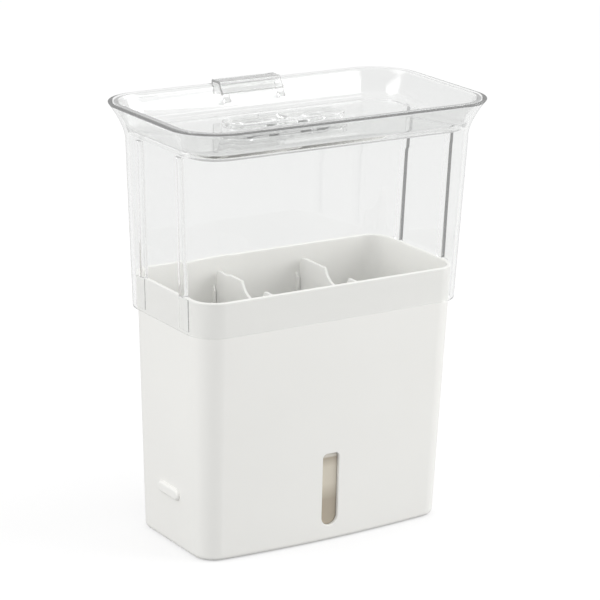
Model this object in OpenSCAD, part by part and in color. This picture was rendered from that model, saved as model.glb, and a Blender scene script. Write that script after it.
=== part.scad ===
// Herb keeper. A tapered water tub stands on its flat foot. A clear hood laps over the
// tub's rim and stands on it by the shoulders of four inner ribs, a clear lid drops into the
// hood's flared mouth, and two dividers lift out of the tub. Millimetres, +Z up, the front is -Y.

/* [Tub] */
// Length of the tub at its foot, left to right
foot_l = 154.2; // [120:0.2:200]
// Width of the tub's short sides at the foot, front to back
foot_w = 71; // [60:0.2:100]
// How far the long walls bow outward at the foot; they are straight at the rim
foot_bow = 4.3; // [0:0.1:5]
// Radius of the tub's upright corners at the foot
foot_r = 11; // [8:0.5:14]
// Radius of the tub's upright corners at the rim
rim_r = 14; // [10:0.5:16]
// Height of the tub's rim above the table
tub_h = 146.5; // [110:0.5:200]
// How far each side leans outward over the tub's height
tub_lean = 4.9; // [2:0.1:7]
// Thickness of the tub's walls
tub_wall = 2.2; // [1.6:0.1:3]
// Thickness of the tub's floor
tub_floor = 2.5; // [2:0.1:4]
// Radius that rounds the outside of the foot
foot_fillet = 2.5; // [1:0.1:4]
// Radius between the floor and the walls inside, where the window's flange leaves room
floor_fillet = 4; // [2:0.5:6]
// Radius on the two edges of the tub's rim
rim_fillet = 0.7; // [0.3:0.1:0.75]
// Height of the flat pad that the tub stands on
pad_h = 0.6; // [0.3:0.1:1]
// How far the pad's edge lies inside the foot
pad_inset = 4.5; // [3:0.5:8]

/* [Side lugs] */
// Length of the oblong lug on each short side
lug_l = 22; // [14:1:30]
// Height of the lug
lug_h = 6.5; // [5:0.5:14]
// How far the lug stands out of the wall
lug_out = 3; // [1.5:0.1:5]
// Radius on the lug's outer edge
lug_round = 2; // [1:0.1:2.4]
// Height of the lug's middle above the table
lug_z = 31; // [20:1:60]

/* [Water window] */
// Width of the window's slot
window_w = 10.4; // [8:0.2:16]
// Height of the lower, round end of the slot
window_z0 = 9.3; // [7:0.1:20]
// Height of the upper end of the slot
window_z1 = 51; // [40:1:80]
// Radius of the two upper corners of the slot
window_r = 2.5; // [1:0.5:4]
// How far the window's face lies behind the wall's face
window_sink = 1.7; // [0.2:0.1:2]
// Clearance between the window and the edge of its slot
window_gap = 0.15; // [0.1:0.05:0.3]
// How far the window's flange reaches past the slot
flange_reach = 3; // [2:0.5:4]
// Thickness of the flange
flange_t = 1.4; // [1:0.1:2]
// Depth of the flat seat that is cut into the bowed wall for the seal
seat_d = 0.2; // [0.1:0.05:0.4]
// Thickness of the rubber seal under the flange
seal_t = 0.9; // [0.6:0.1:1.2]
// Width of the seal's band
seal_w = 2.2; // [1.2:0.1:2.4]
// Height of each clip that holds the flange
clip_h = 6; // [4:0.5:8]
// Thickness of the clips
clip_t = 1.4; // [1:0.1:2]

/* [Dividers] */
// Distance of each divider from the middle of the tub
divider_x = 27; // [22:1:34]
// Thickness of a divider
divider_t = 1.8; // [1.4:0.1:2.4]
// How far the dividers' top edges lie below the tub's rim
divider_drop = 7; // [4:1:20]
// Clearance between a divider and its rails
divider_gap = 0.35; // [0.2:0.05:0.6]
// Clearance between a divider's side edges and the tub's long walls
divider_side_gap = 1; // [0.8:0.1:1.4]
// Radius of the finger scallop in a divider's top edge
scallop_r = 13; // [9:0.5:16]
// Depth of the finger scallop
scallop_d = 8; // [5:0.5:9]
// Width of the water passage in a divider's bottom edge
passage_w = 22; // [14:1:32]
// Height of the water passage
passage_h = 9; // [6:0.5:14]
// Thickness of a rail
rail_t = 1.5; // [1.2:0.1:2]
// How far a rail stands out of the wall
rail_d = 2.6; // [2:0.1:3.5]
// How far the rails end below the tub's rim
rail_drop = 16; // [12:1:40]

/* [Hood] */
// How far the hood laps down over the tub
hood_lap = 19.2; // [12:0.2:30]
// Height of the hood's rim above the tub's rim
hood_rise = 93.5; // [70:0.5:130]
// Thickness of the hood's walls
hood_wall = 1.8; // [1.4:0.1:2.4]
// Clearance between the hood's lower edge and the tub's rim
hood_gap = 0.45; // [0.35:0.05:0.8]
// How far each straight side leans outward over the hood's height
hood_lean = 3.9; // [2:0.1:6]
// Height of the flare under the rim
flare_h = 22; // [16:1:28]
// How far the flare spreads beyond the straight sides
flare_out = 9.2; // [6:0.1:12]
// How sharply the flare turns outward
flare_power = 1.6; // [1.4:0.05:2]
// How much the corner radius grows up the flare
flare_r = 10; // [6:0.5:16]
// Width of the hood's and the lid's edge at the rim
rim_edge = 2.8; // [2.4:0.1:3.4]
// Radius on the edges of the hood's and the lid's rim
edge_fillet = 0.9; // [0.4:0.1:1]

/* [Hood ribs] */
// Distance of each rib from the middle of the short wall
rib_y = 20.5; // [14:0.5:22]
// Width of a rib
rib_w = 4.5; // [3:0.1:6]
// How far a rib's shoulder reaches over the tub's rim
shoulder_reach = 1.3; // [1:0.1:1.6]
// How far the ribs end below the hood's rim
rib_drop = 17.5; // [17.2:0.1:30]
// Width of the guide pad below each rib
pad_w = 8.8; // [6:0.2:10]
// How far the guide pad's middle lies outboard of the rib's
pad_shift = 2.2; // [0:0.1:3]
// Thickness of the guide pad
pad_t = 0.2; // [0.1:0.05:0.25]

/* [Lid] */
// Depth of the lid's recess below the rim
lid_depth = 15; // [12:0.5:18]
// Thickness of the lid's floor
lid_floor = 2; // [1.6:0.1:3]
// Thickness of the lid's wall at its foot
lid_wall = 1.8; // [1.4:0.1:2.4]
// Clearance between the lid and the hood's flare
lid_gap = 0.35; // [0.25:0.05:0.6]
// Radius under the lid, between floor and wall
lid_fillet = 3; // [1.5:0.5:4]
// Radius inside the lid, between floor and wall
recess_fillet = 3.5; // [1.5:0.5:5]

/* [Vent] */
// Length of the raised border round the vent
vent_l = 75; // [70:1:100]
// Width of the border
vent_w = 21; // [18:1:26]
// Distance of the vent behind the middle of the lid
vent_y = 15; // [8:0.5:16]
// Thickness of the border
border_t = 1.6; // [1.2:0.1:2.4]
// Travel of the slider from shut to open
vent_travel = 10; // [9.5:0.1:10.5]
// Clearance round the slider
slider_gap = 0.35; // [0.2:0.05:0.5]
// Thickness of the slider
slider_t = 1.5; // [1.2:0.1:2]
// Number of air slots
slot_n = 3; // [1:2:3]
// Distance from slot to slot
slot_pitch = 20; // [19:0.5:21]
// Width of an air slot
slot_w = 3; // [2:0.1:3.6]
// Length of an air slot
slot_l = 8; // [6:0.5:8.5]
// Width of the grip on the slider
grip_w = 3; // [2:0.1:4]
// Length of the grip
grip_l = 11; // [8:0.5:12]
// Height of the grip above the slider
grip_h = 1.6; // [1:0.1:2.4]
// Length of the lip on each long side of the border that holds the slider down
lip_l = 22; // [12:1:30]
// How far a lip reaches over the slider
lip_reach = 0.8; // [0.6:0.1:1.2]
// Thickness of a lip
lip_t = 0.8; // [0.6:0.1:1.2]

/* [Lid handle] */
// Length of the handle along the rim
handle_l = 40.6; // [28:0.2:60]
// Thickness of the handle's walls
handle_t = 1.4; // [1:0.1:2]
// Length of each leg at the ends of the handle
leg_l = 5; // [3:0.5:8]
// How far the legs reach down the lid's wall
leg_drop = 9; // [6:0.5:10]
// How far the inner lip reaches down between the legs
lip_drop = 3.4; // [2:0.2:5]
// How far the outer skirt hangs outside the hood's rim
skirt_drop = 7; // [4:0.5:10]
// Clearance between the handle and the two rims
handle_gap = 0.3; // [0.2:0.05:0.5]
// Clearance between the handle's legs and the lid's wall
leg_gap = 0.12; // [0.1:0.01:0.3]

/* [Hidden] */
$fn = 48;

// Facets in each rounded corner, and steps up the flare
corner_steps = 8;
flare_steps = 8;
fillet_steps = 4;
// Points along each bowed long side between its corners
bow_steps = 9;
// How deep ribs, rails and lugs are rooted in the wall that carries them
root = 1;
// How far the flat seat inside the bowed front wall reaches past the window's flange
seat_rim = 0.3;

// Places that several pieces share
floor_top = pad_h + tub_floor;
toe_r = min(floor_fillet, window_z0 - flange_reach - floor_top);
wall_tilt = atan((tub_lean - foot_bow) / tub_h);
seat_y = tub_wall * cos(wall_tilt) - seat_d;
top_x = foot_l / 2 + tub_lean;
hood_z0 = tub_h - hood_lap;
rim_z = tub_h + hood_rise;
flare_z = rim_z - flare_h;
hood_x = top_x + hood_gap + hood_wall;
hood_y = foot_w / 2 + tub_lean + hood_gap + hood_wall;
hood_r = rim_r + hood_gap + hood_wall;
lid_top = rim_z - lid_depth;
lid_z = lid_top - lid_floor;
slider_l = vent_l - 2 * border_t - 2 * slider_gap - vent_travel;
slider_w = vent_w - 2 * border_t - 2 * slider_gap;
border_h = slider_t + slider_gap + lip_t;
handle_top = rim_z + handle_gap + handle_t;

// ---- outlines and skins ----

// A rounded rectangle of half sizes hx and hy at height z, anticlockwise from above
function ring(hx, hy, r, z) = [
    for (q = [0:3]) each corner(hx, hy, r, z, q)
];
function corner(hx, hy, r, z, q) = [
    for (i = [0:corner_steps])
        let (a = 90 * (q + i / corner_steps),
             sx = (q == 0 || q == 3) ? 1 : -1,
             sy = (q < 2) ? 1 : -1)
        [sx * (hx - r) + r * cos(a), sy * (hy - r) + r * sin(a), z]
];

// The same with its two long sides bowed outward by b in the middle
function bowed_ring(hx, hy, r, z, b) = [
    for (q = [0:3], p = concat(corner(hx, hy, r, z, q), long_side(hx, hy, r, z, q)))
        [p[0], p[1] + sign(p[1]) * b * bow_share(p[0], hx), z]
];
function bow_share(x, hx) = 1 - pow(x / hx, 2);

// Points along the long side that follows corner q; the short sides need none
function long_side(hx, hy, r, z, q) = q % 2 == 1 ? [] : [
    for (k = [1:bow_steps])
        let (side = 1 - q)
        [side * (hx - r) * (1 - 2 * k / (bow_steps + 1)), side * hy, z]
];

// Quarter round from angle a0 to a1, as [across, up] pairs
function arc(cx, cz, r, a0, a1) = [
    for (k = [0:fillet_steps])
        let (a = a0 + (a1 - a0) * k / fillet_steps)
        [cx + r * cos(a), cz + r * sin(a)]
];

// Closed skin through a list of rings: a cup with two capped ends, or a sleeve
module skin(rings, sleeve = false) {
    n = len(rings[0]);
    m = len(rings);
    last = sleeve ? m - 1 : m - 2;
    sides = [
        for (k = [0:last], i = [0:n - 1])
            let (up = (k + 1) % m, next = (i + 1) % n)
            [k * n + i, up * n + i, up * n + next, k * n + next]
    ];
    foot = [for (i = [0:n - 1]) i];
    head = [for (i = [n - 1:-1:0]) (m - 1) * n + i];
    polyhedron([for (g = rings) each g], sleeve ? sides : concat(sides, [foot, head]));
}

// An oblong with round ends
module oblong(l, w) {
    square([l - w, w], center = true);
    for (s = [-1, 1])
        translate([s * (l - w) / 2, 0]) circle(d = w);
}

// Extrudes a [y, z] outline along X, and an [x, z] outline along Y, about the middle
module along_x(l) { rotate([90, 0, 90]) linear_extrude(l, center = true) children(); }
module along_y(l) { rotate([90, 0, 0]) linear_extrude(l, center = true) children(); }

// ---- tub ----

// How far the tub's side has moved outward at height z, how far its long walls bow there,
// and its section there
function lean(z) = tub_lean * z / tub_h;
function bow(z) = foot_bow * (1 - z / tub_h);
function tub_r(z) = foot_r + (rim_r - foot_r) * z / tub_h;
function tub_ring(out, z) = bowed_ring(
    foot_l / 2 + lean(z) + out, foot_w / 2 + lean(z) + out, tub_r(z) + out, z, bow(z));

// Half width inside the tub at height z, where the long wall is x from the middle
function wall_in(z, x) =
    foot_w / 2 + lean(z) + bow(z) * bow_share(x, foot_l / 2 + lean(z)) - tub_wall;

// Profile of the tub's wall: up the outside, over the rim and down to the floor
tub_profile = concat(
    arc(-foot_fillet, pad_h + foot_fillet, foot_fillet, -90, 0),
    arc(-rim_fillet, tub_h - rim_fillet, rim_fillet, 0, 90),
    arc(rim_fillet - tub_wall, tub_h - rim_fillet, rim_fillet, 90, 180),
    arc(-tub_wall - toe_r, floor_top + toe_r, toe_r, 0, -90));

// Places a child on the middle of the front wall: z runs up the wall, +y into the tub
module on_front_wall() {
    translate([0, -foot_w / 2 - foot_bow, 0]) rotate([wall_tilt, 0, 0]) children();
}

// The window's outline, grown by g: a round lower end and two small upper corners
module window_shape(g) {
    half = window_w / 2;
    translate([0, window_z0 + half]) circle(r = half + g);
    translate([-half - g, window_z0 + half])
        square([window_w + 2 * g, window_z1 - window_z0 - half - window_r]);
    for (s = [-1, 1])
        translate([s * (half - window_r), window_z1 - window_r]) circle(r = window_r + g);
    translate([window_r - half, window_z1 - window_r - root])
        square([window_w - 2 * window_r, window_r + root + g]);
}

// A slice of the front wall's depth, from y0 to y1 behind its outer face
module wall_slice(y0, y1) {
    on_front_wall() translate([0, y1, 0]) rotate([90, 0, 0]) linear_extrude(y1 - y0) children();
}

module rail(x, side) {
    z0 = floor_top - root;
    z1 = tub_h - rail_drop;
    run_in = rail_d;
    low = wall_in(z0, x);
    top = wall_in(z1, x);
    translate([x, 0, 0]) mirror([0, side < 0 ? 1 : 0, 0]) along_x(rail_t)
        polygon([[low + root, z0], [top + root, z1], [top, z1],
                 [wall_in(z1 - run_in, x) - rail_d, z1 - run_in], [low - rail_d, z0]]);
}

// An oblong lug with a rounded outer edge: [change of half size, distance along X] pairs
module side_lug() {
    reach = foot_l / 2 + lean(lug_z) + lug_out;
    inner = foot_l / 2 + lean(lug_z - lug_h / 2) - root;
    outline = concat([[0, inner]], arc(-lug_round, reach - lug_round, lug_round, 0, 90));
    roundness = 0.95;
    translate([0, 0, lug_z]) rotate([90, 0, 90])
        skin([for (p = outline) let (half = lug_h / 2 + p[0])
              ring(lug_l / 2 + p[0], half, roundness * half, p[1])]);
}

// Two clips on each side of the window hook over its flange
module window_clip(s, z) {
    edge = window_w / 2 + flange_reach + window_gap;
    back = seat_y + seal_t + flange_t;
    on_front_wall() translate([0, 0, z]) {
        translate([s > 0 ? edge : -edge - clip_t, seat_y - root, 0])
            cube([clip_t, seal_t + flange_t + clip_t + root, clip_h]);
        translate([s > 0 ? edge - clip_t / 2 : -edge, back, 0])
            cube([clip_t / 2, clip_t, clip_h]);
    }
}

module tub() {
    rail_x = divider_t / 2 + divider_gap + rail_t / 2;
    clip_z = [window_z0 + window_w / 2, window_z1 - clip_h - window_r];
    color([0.93, 0.93, 0.92]) {
        difference() {
            skin([for (p = tub_profile) tub_ring(p[0], p[1])]);
            wall_slice(-foot_w / 4, seat_y + root) window_shape(0);
            wall_slice(seat_y, seat_y + root) window_shape(flange_reach + seat_rim);
        }
        linear_extrude(pad_h + tub_floor / 2)
            polygon([for (p = tub_ring(-pad_inset, 0)) [p[0], p[1]]]);
        for (sx = [-1, 1], e = [-1, 1], sy = [-1, 1])
            rail(sx * divider_x + e * rail_x, sy);
        for (sx = [0, 1])
            mirror([sx, 0, 0]) side_lug();
        for (s = [-1, 1], z = clip_z)
            window_clip(s, z);
    }
}

// ---- window ----

module water_window() {
    seat = seat_y + seal_t;
    color([0.72, 0.66, 0.56]) {
        wall_slice(window_sink, seat + flange_t / 2) window_shape(-window_gap);
        wall_slice(seat, seat + flange_t) window_shape(flange_reach);
    }
}

module window_seal() {
    color([0.55, 0.55, 0.54]) wall_slice(seat_y, seat_y + seal_t) difference() {
        window_shape(flange_reach - window_gap);
        window_shape(flange_reach - window_gap - seal_w);
    }
}

// ---- dividers ----

module divider() {
    z0 = floor_top;
    z1 = tub_h - divider_drop;
    toe = toe_r + divider_gap;
    round_r = 4;
    face_x = divider_x + divider_t / 2;
    half = wall_in(z1, face_x) - divider_side_gap;
    right = concat(
        [[wall_in(z0, face_x) - toe, z0], [wall_in(z0 + toe, face_x) - divider_side_gap, z0 + toe]],
        arc(half - round_r, z1 - round_r, round_r, 0, 90));
    left = [for (k = [len(right) - 1:-1:0]) [-right[k][0], right[k][1]]];
    along_x(divider_t) difference() {
        polygon(concat(right, left));
        translate([0, z1 - scallop_d + scallop_r]) circle(r = scallop_r);
        translate([0, z0]) {
            translate([-passage_w / 2, -root]) square([passage_w, root + passage_h - 3]);
            for (s = [-1, 1])
                translate([s * (passage_w / 2 - 3), passage_h - 3]) circle(r = 3);
            translate([3 - passage_w / 2, 0]) square([passage_w - 6, passage_h]);
        }
    }
}

module divider_left() { color([0.90, 0.90, 0.89]) translate([-divider_x, 0, 0]) divider(); }
module divider_right() { color([0.90, 0.90, 0.89]) translate([divider_x, 0, 0]) divider(); }

// ---- hood ----

// Share of the way up the flare, the spread of the hood's outside, and its wall at height z
function rise(z) = max(0, (z - flare_z) / flare_h);
function spread(z) =
    hood_lean * (z - hood_z0) / (rim_z - hood_z0) + flare_out * pow(rise(z), flare_power);
function edge(wall, z) = wall + (rim_edge - wall) * rise(z);
function hood_ring(out, z) =
    ring(hood_x + spread(z) + out, hood_y + spread(z) + out, hood_r + flare_r * rise(z) + out, z);
function inside_x(z) = hood_x + spread(z) - edge(hood_wall, z);

// Heights up the flare, from z0 to the start of the rim's rounding
function flare_heights(z0) = [
    for (k = [0:flare_steps]) z0 + (rim_z - edge_fillet - z0) * k / flare_steps
];
function backward(list) = [for (k = [len(list) - 1:-1:0]) list[k]];

// Profile of the hood's wall: up the outside, over the rim and down the inside
hood_profile = concat(
    [[-hood_wall / 3, hood_z0], [0, hood_z0 + hood_wall / 3]],
    [for (z = flare_heights(flare_z)) [0, z]],
    arc(-edge_fillet, rim_z - edge_fillet, edge_fillet, 0, 90),
    arc(edge_fillet - rim_edge, rim_z - edge_fillet, edge_fillet, 90, 180),
    [for (z = backward(flare_heights(flare_z))) [-edge(hood_wall, z), z]],
    [[-hood_wall, hood_z0 + hood_wall / 3], [-2 * hood_wall / 3, hood_z0]]);

// A rib that stands on the tub's rim by its shoulder, at y on the short wall
module hood_rib(y) {
    depth = inside_x(tub_h) - top_x + shoulder_reach;
    rib_z = rim_z - rib_drop;
    translate([0, y, 0]) along_y(rib_w)
        polygon([[inside_x(tub_h) - depth, tub_h], [inside_x(tub_h) + root, tub_h],
                 [inside_x(rib_z) + root, rib_z], [inside_x(rib_z) - depth, rib_z]]);
}

// A thin pad below a rib that keeps the hood centred on the tub
module guide_pad(y) {
    low = hood_z0 + hood_wall;
    translate([0, y, 0]) along_y(pad_w)
        polygon([[inside_x(low) - pad_t, low], [inside_x(low) + root, low],
                 [inside_x(tub_h) + root, tub_h], [inside_x(tub_h) - pad_t, tub_h]]);
}

module hood() {
    color([0.86, 0.88, 0.88, 0.4]) {
        skin([for (p = hood_profile) hood_ring(p[0], p[1])], sleeve = true);
        for (sx = [0, 1], side = [-1, 1])
            mirror([sx, 0, 0]) {
                hood_rib(side * rib_y);
                guide_pad(side * (rib_y + pad_shift));
            }
    }
}

// ---- lid ----

// Offsets of the lid's outer and inner face from the hood's outside
function lid_out(z) = -edge(hood_wall, z) - lid_gap;
function lid_in(z) = lid_out(z) - edge(lid_wall, z);
function lid_in_y(z) = hood_y + spread(z) + lid_in(z);

lid_profile = concat(
    [for (p = arc(-lid_fillet, lid_z + lid_fillet, lid_fillet, -90, 0)) [p[0] + lid_out(p[1]), p[1]]],
    [for (z = flare_heights(lid_z + lid_fillet)) [lid_out(z), z]],
    [for (p = arc(-edge_fillet, rim_z - edge_fillet, edge_fillet, 0, 90)) [p[0] + lid_out(rim_z), p[1]]],
    [for (p = arc(edge_fillet, rim_z - edge_fillet, edge_fillet, 90, 180)) [p[0] + lid_in(rim_z), p[1]]],
    [for (z = backward(flare_heights(lid_top + recess_fillet))) [lid_in(z), z]],
    [for (p = arc(-recess_fillet, lid_top + recess_fillet, recess_fillet, 0, -90))
        [p[0] + lid_in(p[1]), p[1]]]);

// Air slots, moved sideways by shift
module slots(shift) {
    for (k = [0:slot_n - 1])
        translate([(k - (slot_n - 1) / 2) * slot_pitch + shift, 0]) oblong(slot_l, slot_w);
}

// The border, with a lip on each long side that hooks over the slider's edge
module vent_border() {
    inner_w = vent_w - 2 * border_t;
    linear_extrude(border_h) difference() {
        oblong(vent_l, vent_w);
        oblong(vent_l - 2 * border_t, inner_w);
    }
    for (s = [0, 1])
        mirror([0, s, 0]) translate([-lip_l / 2, inner_w / 2 - lip_reach - slider_gap, border_h - lip_t])
            cube([lip_l, lip_reach + slider_gap + border_t / 2, lip_t]);
}

module lid() {
    color([0.86, 0.88, 0.88, 0.4]) {
        difference() {
            skin([for (p = lid_profile) hood_ring(p[0], p[1])]);
            translate([0, vent_y, lid_z - root]) linear_extrude(lid_floor + 2 * root) slots(0);
        }
        translate([0, vent_y, lid_top]) vent_border();
    }
}

// ---- vent slider ----

// Section of the grip, with a round top edge on each side
module grip_section() {
    top = slider_t + grip_h;
    bend = grip_w / 3;
    polygon(concat([[-grip_w / 2, slider_t / 2], [grip_w / 2, slider_t / 2]],
                   arc(grip_w / 2 - bend, top - bend, bend, 0, 90),
                   arc(bend - grip_w / 2, top - bend, bend, 90, 180)));
}

module vent_slider() {
    color([0.86, 0.88, 0.88, 0.5]) translate([-vent_travel / 2, vent_y, lid_top]) {
        linear_extrude(slider_t) difference() {
            oblong(slider_l, slider_w);
            slots(-vent_travel / 2);
        }
        translate([vent_travel / 2, 0, 0]) along_y(grip_l) grip_section();
    }
}

// ---- lid handle ----

// Section of the handle across the rim, with its inner side reaching down to z0
function handle_section(z0) = let (
        steps = 6,
        heights = [for (k = [0:steps]) z0 + (rim_z - z0) * k / steps],
        near = [for (z = heights) [lid_in_y(z) - leg_gap, z]],
        far = [for (z = backward(heights)) [lid_in_y(z) - leg_gap - handle_t, z]],
        skirt_in = hood_y + spread(rim_z) + handle_gap,
        skirt_z = rim_z - skirt_drop,
        bend = handle_t * 0.6)
    concat(
        near,
        [[lid_in_y(rim_z) - leg_gap, rim_z + handle_gap], [skirt_in, rim_z + handle_gap]],
        [[skirt_in, skirt_z], [skirt_in + handle_t, skirt_z]],
        arc(skirt_in + handle_t - bend, handle_top - bend, bend, 0, 90),
        arc(lid_in_y(rim_z) - leg_gap - handle_t + bend, handle_top - bend, bend, 90, 180),
        far);

module lid_handle() {
    color([0.86, 0.88, 0.88, 0.5]) {
        along_x(handle_l) polygon(handle_section(rim_z - lip_drop));
        for (s = [-1, 1])
            translate([s * (handle_l - leg_l) / 2, 0, 0])
                along_x(leg_l) polygon(handle_section(rim_z - leg_drop));
    }
}

tub();
water_window();
window_seal();
divider_left();
divider_right();
hood();
lid();
lid_handle();
vent_slider();
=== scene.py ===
# %% [markdown]
# # A herb keeper for the fridge door
#
# The keeper is a white water tub with a clear hood standing on its rim. A clear lid drops
# into the hood's flared mouth, and two dividers stand inside. The construction model gives
# every piece its place, so this file only builds the looks around it, all in metres.

# %% Load the construction model
import math

import bmesh
import bpy
from mathutils import Matrix, Vector


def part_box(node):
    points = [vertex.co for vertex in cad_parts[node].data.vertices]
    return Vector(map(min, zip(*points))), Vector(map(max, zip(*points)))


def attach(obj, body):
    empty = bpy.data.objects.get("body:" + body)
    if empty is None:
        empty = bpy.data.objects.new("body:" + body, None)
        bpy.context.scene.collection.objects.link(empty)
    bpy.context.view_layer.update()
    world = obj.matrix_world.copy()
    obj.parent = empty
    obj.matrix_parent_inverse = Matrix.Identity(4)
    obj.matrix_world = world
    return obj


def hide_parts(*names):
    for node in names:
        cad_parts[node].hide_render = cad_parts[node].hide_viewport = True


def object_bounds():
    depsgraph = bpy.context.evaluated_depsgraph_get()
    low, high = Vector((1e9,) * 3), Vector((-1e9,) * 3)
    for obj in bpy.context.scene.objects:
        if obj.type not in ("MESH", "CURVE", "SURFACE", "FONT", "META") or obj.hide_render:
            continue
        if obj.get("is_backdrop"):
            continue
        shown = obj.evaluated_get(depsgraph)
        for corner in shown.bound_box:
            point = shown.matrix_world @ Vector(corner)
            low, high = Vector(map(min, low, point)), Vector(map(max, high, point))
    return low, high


MM = 0.001
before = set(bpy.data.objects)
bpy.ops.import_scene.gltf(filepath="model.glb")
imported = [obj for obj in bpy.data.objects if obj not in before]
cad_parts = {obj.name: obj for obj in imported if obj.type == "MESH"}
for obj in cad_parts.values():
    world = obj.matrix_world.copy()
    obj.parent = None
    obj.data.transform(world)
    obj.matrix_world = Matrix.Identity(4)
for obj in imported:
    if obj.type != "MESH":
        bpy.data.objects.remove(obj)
cad_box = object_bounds()

# %% [markdown]
# ## Camera and studio
#
# The keeper is seen from its left front, a little from above, through a long lens, so its
# upright edges stay nearly parallel. The camera is made first because every later choice
# is judged through it. The small roll is part of the view: the camera leaned by a degree.

# %% Camera
VIEW_AZIMUTH = math.radians(-33.030)
VIEW_ELEVATION = math.radians(16.695)
VIEW_ROLL = math.radians(1.300)
VIEW_DISTANCE = 1477.7 * MM
VIEW_CENTRE_UP = 127.53 * MM
VIEW_CENTRE_RIGHT = 2.833 * MM
LENS = 162.12
SENSOR = 36.0


def make_camera():
    a, e = VIEW_AZIMUTH, VIEW_ELEVATION
    back = Vector((math.sin(a) * math.cos(e), -math.cos(a) * math.cos(e), math.sin(e)))
    right = Vector((math.cos(a), math.sin(a), 0))
    target = right * VIEW_CENTRE_RIGHT + Vector((0, 0, VIEW_CENTRE_UP))
    data = bpy.data.cameras.new("camera")
    data.lens = LENS
    data.sensor_width = SENSOR
    camera = bpy.data.objects.new("camera", data)
    bpy.context.scene.collection.objects.link(camera)
    turn = (-back).to_track_quat("-Z", "Y").to_matrix().to_4x4()
    roll = Matrix.Rotation(VIEW_ROLL, 4, "Z")
    camera.matrix_world = Matrix.Translation(target + back * VIEW_DISTANCE) @ turn @ roll
    bpy.context.scene.camera = camera
    return camera


camera = make_camera()
print("camera at", [round(v, 3) for v in camera.matrix_world.translation])

# %% [markdown]
# Several finishes below are small sums of nodes. The kind of ray that asks decides how
# bright the floor is, and a height or a noise decides a colour. Each helper adds one such
# step and hands back its output, so a material reads from top to bottom.

# %% Node helpers
def feed(links, socket, value):
    """Sets a socket to a plain number, or links it to the socket that is given."""
    if isinstance(value, (int, float)):
        socket.default_value = value
    else:
        links.new(value, socket)


def math_node(nodes, links, operation, first, second):
    step = nodes.new("ShaderNodeMath")
    step.operation = operation
    feed(links, step.inputs[0], first)
    feed(links, step.inputs[1], second)
    return step.outputs[0]


def map_range(nodes, links, value, start, end, low, high):
    """low where the value is at start or before it, high from end on, a blend between."""
    span = nodes.new("ShaderNodeMapRange")
    feed(links, span.inputs["Value"], value)
    feed(links, span.inputs["From Min"], start)
    feed(links, span.inputs["From Max"], end)
    feed(links, span.inputs["To Min"], low)
    feed(links, span.inputs["To Max"], high)
    return span.outputs["Result"]


def switch(nodes, links, share, low, high):
    """low where the share is 0 and high where it is 1."""
    return map_range(nodes, links, share, 0, 1, low, high)


def own_place(nodes):
    """Each point's place on its own object, in metres."""
    return nodes.new("ShaderNodeTexCoord").outputs["Object"]


def seen_through(nodes, links, path):
    """1 for the camera and for light that comes through clear plastic, else 0."""
    return math_node(nodes, links, "MAXIMUM", path["Is Camera Ray"], path["Is Transmission Ray"])


print("node helpers ready")

# %% [markdown]
# A white sweep is all there is around the keeper. The floor is pale paint plus a glow that
# only the camera and light through clear plastic see in full. So the ground reads as pure
# white, keeps the keeper's shadow, and puts no extra light on the keeper. A lamp lays a
# bright pool on the floor in front of it and none behind it. So, as it is seen, the floor
# fades with distance from mostly paint to nearly all glow, which is even from every side.

# %% Floor
FLOOR_RADIUS = 6.0
FLOOR_SIDES = 64
FLOOR_PAINT, FAR_PAINT = 0.40, 0.05
FLOOR_GLOW, FAR_GLOW = 0.56, 0.96
FADE_FROM, FADE_TO = 0.35, 1.1
GLOW_IN_REFLECTIONS = 0.3


def fade(nodes, links, near, far):
    """near round the keeper and far away from it, by the distance along the floor."""
    distance = nodes.new("ShaderNodeVectorMath")
    distance.operation = "LENGTH"
    links.new(own_place(nodes), distance.inputs[0])
    return map_range(nodes, links, distance.outputs["Value"], FADE_FROM, FADE_TO, near, far)


def sweep_paint():
    """Pale paint plus a glow. Both fade as seen; diffuse light meets the paint alone."""
    material = bpy.data.materials.new("white_sweep")
    material.use_nodes = True
    nodes, links = material.node_tree.nodes, material.node_tree.links
    nodes.clear()
    path = nodes.new("ShaderNodeLightPath").outputs
    seen = seen_through(nodes, links, path)
    paint = nodes.new("ShaderNodeBsdfDiffuse")
    tone = switch(nodes, links, seen, FLOOR_PAINT, fade(nodes, links, FLOOR_PAINT, FAR_PAINT))
    links.new(tone, paint.inputs["Color"])
    glow = nodes.new("ShaderNodeEmission")
    mirrored = math_node(nodes, links, "MULTIPLY", path["Is Glossy Ray"], GLOW_IN_REFLECTIONS)
    share = math_node(nodes, links, "MAXIMUM", seen, mirrored)
    level = switch(nodes, links, seen, FLOOR_GLOW, fade(nodes, links, FLOOR_GLOW, FAR_GLOW))
    links.new(math_node(nodes, links, "MULTIPLY", share, level), glow.inputs["Strength"])
    both = nodes.new("ShaderNodeAddShader")
    links.new(paint.outputs[0], both.inputs[0])
    links.new(glow.outputs[0], both.inputs[1])
    out = nodes.new("ShaderNodeOutputMaterial")
    links.new(both.outputs[0], out.inputs["Surface"])
    return material


def make_floor():
    mesh = bpy.data.meshes.new("floor")
    build = bmesh.new()
    bmesh.ops.create_circle(build, cap_ends=True, radius=FLOOR_RADIUS, segments=FLOOR_SIDES)
    build.to_mesh(mesh)
    build.free()
    floor = bpy.data.objects.new("floor", mesh)
    bpy.context.scene.collection.objects.link(floor)
    mesh.materials.append(sweep_paint())
    floor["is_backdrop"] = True


make_floor()
print("floor radius", FLOOR_RADIUS, "m, paint", FLOOR_PAINT, "and glow", FLOOR_GLOW)

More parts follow.
